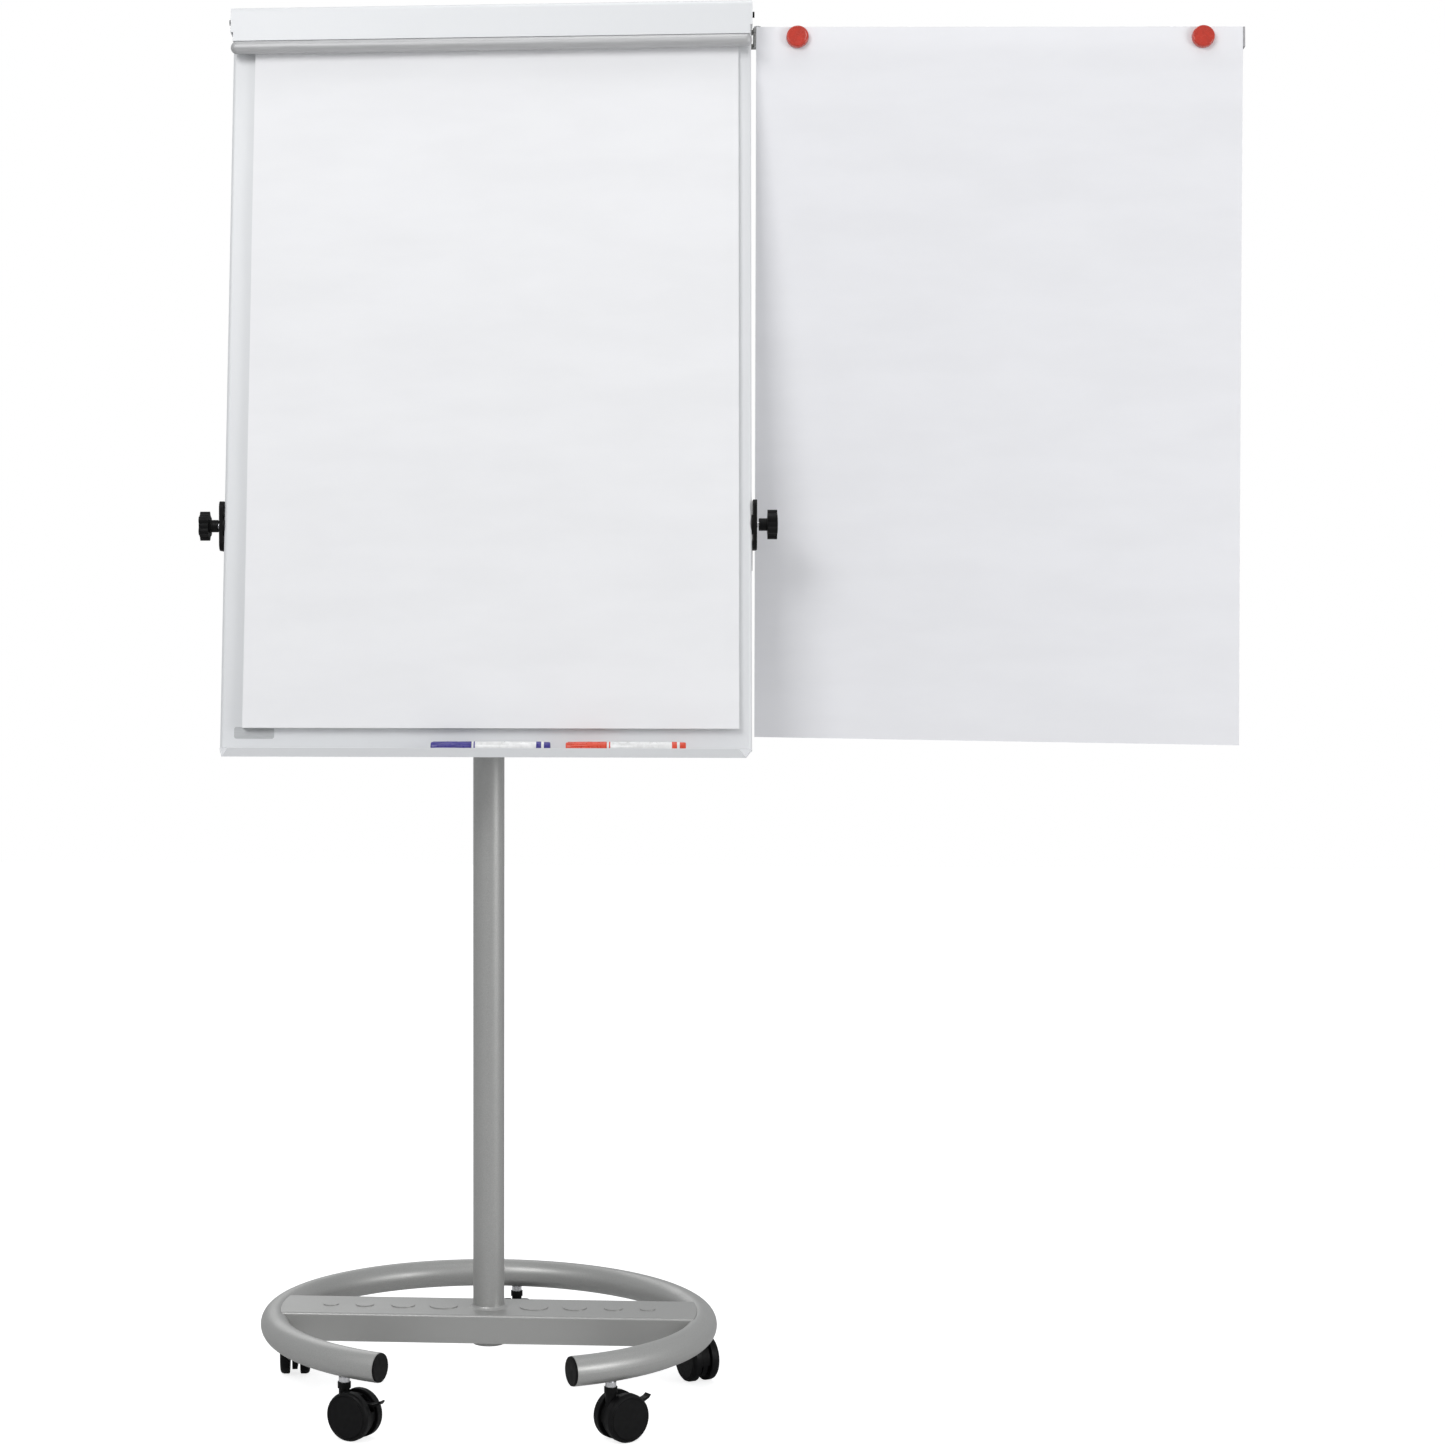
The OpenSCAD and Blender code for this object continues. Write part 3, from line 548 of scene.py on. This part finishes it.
DROOP = math.radians(0.85)                          # droop of the arm's free end
ARM_ALONG = ALONG * math.cos(DROOP) - BOARD_UP * math.sin(DROOP)
ARM_UP = BOARD_UP * math.cos(DROOP) + ALONG * math.sin(DROOP)
ARM_HALF = 13.5 * MM                                # half height of the arm bar
SHEET_OUT = 6.55 * MM                               # the sheet's front, from the arm's middle
SHEET_SIZE = (643 * MM, 955 * MM)
SHEET_START = -1.5 * MM                             # the sheet's left edge, from the hinge pin
SHEET_HELD = 2 * ARM_HALF                           # length that lies on the arm


def on_arm(x, out, up):
    """A point at x along the arm from its hinge, out in front of its middle and up from it."""
    return HINGE + ARM_ALONG * x + BOARD_OUT * out + ARM_UP * up


def loose_sheet():
    """One sheet under the two magnets: flat on the arm's face, plumb below it, a little curled."""
    width, length = SHEET_SIZE
    held = SHEET_HELD

    def point(s, t):
        x = SHEET_START + s * width
        below = (1 - t) * length
        if below <= held:
            return on_arm(x, SHEET_OUT, ARM_HALF - below)
        hang = below - held
        loose = hang / (length - held)
        bow = 5 * MM * math.sin(math.pi * s) * loose ** 1.5
        wave = 1.6 * MM * noise.noise(Vector((s * 1.3, loose * 2.4, 5.0))) * min(1, loose * 4)
        corner = 7 * MM * max(0, s - 0.55) ** 2 * loose ** 3 / 0.2
        edge = on_arm(x, SHEET_OUT, ARM_HALF - held)
        return edge + Vector((0, -bow - wave - corner, -hang))

    sheet = thin_grid("loose_sheet", point, 40, 76, SHEET_THICK, -BOARD_OUT, SHEET_PAPER)
    place(sheet, "arm", "hanging_sheet")


# ---- magnets and markers --------------------------------------------------------------

MAGNET_R, MAGNET_HALF = 15 * MM, 4 * MM             # radius and half depth


def magnets():
    r = MAGNET_R
    profile = [(0, r - 0.8 * MM), (0.5 * MM, r - 0.2 * MM), (1.2 * MM, r), (4.6 * MM, r - 0.25 * MM)]
    for k in range(5):                   # rounded shoulder
        a = math.radians(90 * k / 4)
        profile.append((5.6 * MM + 2.2 * MM * math.sin(a), r - 2.5 * MM + 2.2 * MM * math.cos(a)))
    profile += [(7.5 * MM, r - 3.4 * MM), (7.35 * MM, r - 5 * MM), (7.25 * MM, 0.5 * MM)]
    for side in ("left", "right"):
        name = "magnet_" + side
        start = middle(name) - BOARD_OUT * MAGNET_HALF
        place(revolve("round_" + name, profile, start, BOARD_OUT, MAGNET_RED, 64), name, name)


def marker(colour, plastic):
    """A capped marker: ribbed cap with a clip, white barrel with plain bands, and an end plug."""
    cap_low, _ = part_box(colour + "_marker_cap")
    centre = middle(colour + "_marker")
    start = Vector((cap_low[0], centre.y, centre.z))
    body, cap_body = colour + "_marker", colour + "_cap"

    def turned(name, profile_mm, material, **shape):
        """A piece turned about the marker's axis, with its profile in millimetres."""
        profile = [(a * MM, r * MM) for a, r in profile_mm]
        return revolve(colour + name, profile, start, ALONG, material, **shape)

    nib_and_barrel = [(27, 1.1), (30, 2.4), (38.5, 2.5), (39, 5.4), (40, 6.4), (52.8, 6.45), (53.3, 7.9),
                      (53.9, 8.3), (146.4, 8.3), (147, 8.0)]
    place(turned("_barrel", nib_and_barrel, BARREL_WHITE), body, body)
    plug = [(147.05, 7.2), (147.05, 7.8), (153.8, 7.75), (154.7, 7.3), (155, 6.5), (154.4, 6.1),
            (154.2, 0.4)]
    place(turned("_plug", plug, plastic), body)
    for k, (left, wide) in enumerate(((56, 1.6), (137, 6.5))):
        band = [(left, 8.26), (left, 8.38), (left + wide, 8.38), (left + wide, 8.26)]
        place(turned("_band_%d" % (k + 1), band, plastic, ring=True), body)

    def ribs(along, angle):
        return 1 + (0.035 * math.cos(16 * angle) if 7 * MM < along < 34 * MM else 0)

    lid = [(0, 6.2), (0.4, 7.0), (1.4, 7.5), (6.5, 7.7), (7.5, 7.75), (15, 7.9), (25, 8.0), (33.5, 8.1),
           (34.6, 8.2), (40, 8.3), (51, 8.45), (52.4, 8.4), (53, 8.1), (53, 6.7), (50, 6.6), (5, 6.56)]
    place(turned("_lid", lid, plastic, turns=64, ripple=ribs), cap_body, colour + "_marker_cap")
    # the clip, on the cap's upper side towards the board; rows: along, inner height, outer height
    up = (BOARD_UP * 0.8 - BOARD_OUT * 0.6).normalized()
    across = ALONG.cross(up)
    rows = ((2, 7.2, 8.6), (3, 7.4, 9.6), (26, 8.4, 9.8), (36, 8.7, 9.6), (38, 8.9, 9.3))
    verts, faces = [], []
    for along, low, high in rows:
        for half, level in ((-1.9, low), (1.9, low), (1.5, high), (-1.5, high)):
            verts.append(start + ALONG * along * MM + across * half * MM + up * level * MM)
    for i in range(len(rows) - 1):
        for k in range(4):
            n = (k + 1) % 4
            faces.append((4 * i + k, 4 * i + n, 4 * i + 4 + n, 4 * i + 4 + k))
    faces += [(0, 3, 2, 1), tuple(4 * (len(rows) - 1) + k for k in range(4))]
    clip = new_object(colour + "_clip", verts, faces, plastic, smooth=False)
    fix_normals(clip)
    place(clip, cap_body)


# ---- small parts on the steel ------------------------------------------------------------

def weld_bead():
    """The fillet of weld round the column's foot, with its ripples."""
    top = Vector((COLUMN.x, COLUMN.y, CHANNEL_TOP))
    r = COLUMN_R + 0.05 * MM
    loop = [(0, r), (4 * MM, r), (4.2 * MM, r + 0.5 * MM), (2.4 * MM, r + 1.5 * MM),
            (1.2 * MM, r + 2.8 * MM), (0.3 * MM, r + 4.2 * MM), (0, r + 4.6 * MM)]

    def ripples(along, angle):
        return 1 + (0.008 * math.sin(44 * angle) if 0.2 * MM < along < 4.1 * MM else 0)

    bead = revolve("column_weld", loop, top, Vector((0, 0, 1)), SILVER, 176, ripples, ring=True)
    place(bead, "base")


SPRING_X, SPRING_LONG = 343.4 * MM, 7.8 * MM        # a spring's outer end, and its length
HEADER_PIN = (8 * MM, 687 * MM)                     # the header's pin: out from the face, up


def coil_springs():
    """The two torsion springs on the header's pins, each with its leg."""
    turns, steps = 9, 14
    coil_r, wire = 3.7 * MM, 0.45 * MM
    pin_out, pin_up = HEADER_PIN
    for side, word in ((-1, "left"), (1, "right")):
        points = []
        for i in range(turns * steps + 1):
            a = 2 * math.pi * i / steps
            x = SPRING_X - SPRING_LONG * i / (turns * steps)
            points.append(on_board(side * x, pin_out + coil_r * math.cos(a), pin_up + coil_r * math.sin(a)))
        end = points[-1]
        points += [end - BOARD_UP * 2 * MM, end - BOARD_UP * 8 * MM, end - BOARD_UP * 14 * MM]
        spring = sweep("clamp_spring_" + word, points, wire, ZINC)
        place(spring, "board", "clamp_springs")


def blank_badge():
    """A plain plate, with nothing on it, near the board's lower left corner."""
    left, right, low, high = -330 * MM, -277 * MM, -286 * MM, -270.5 * MM
    back, front = 0.02 * MM, 0.24 * MM
    r, steps = 3 * MM, 6
    ring = []
    for cx, cv, first in ((right - r, high - r, 0), (left + r, high - r, 90),
                          (left + r, low + r, 180), (right - r, low + r, 270)):
        for k in range(steps + 1):
            a = math.radians(first + 90 * k / steps)
            ring.append((cx + r * math.cos(a), cv + r * math.sin(a)))
    n = len(ring)
    verts = [on_board(x, out, v) for out in (back, front) for x, v in ring]
    faces = [tuple(range(n)), tuple(reversed(range(n, 2 * n)))]
    faces += [(k, (k + 1) % n, n + (k + 1) % n, n + k) for k in range(n)]
    badge = new_object("blank_badge", verts, faces, PLATE, smooth=False)
    fix_normals(badge)
    place(badge, "board")


dress_cad_nodes()
camera()
studio()
pad()
loose_sheet()
magnets()
marker("blue", BLUE)
marker("red", RED)
weld_bead()
coil_springs()
blank_badge()
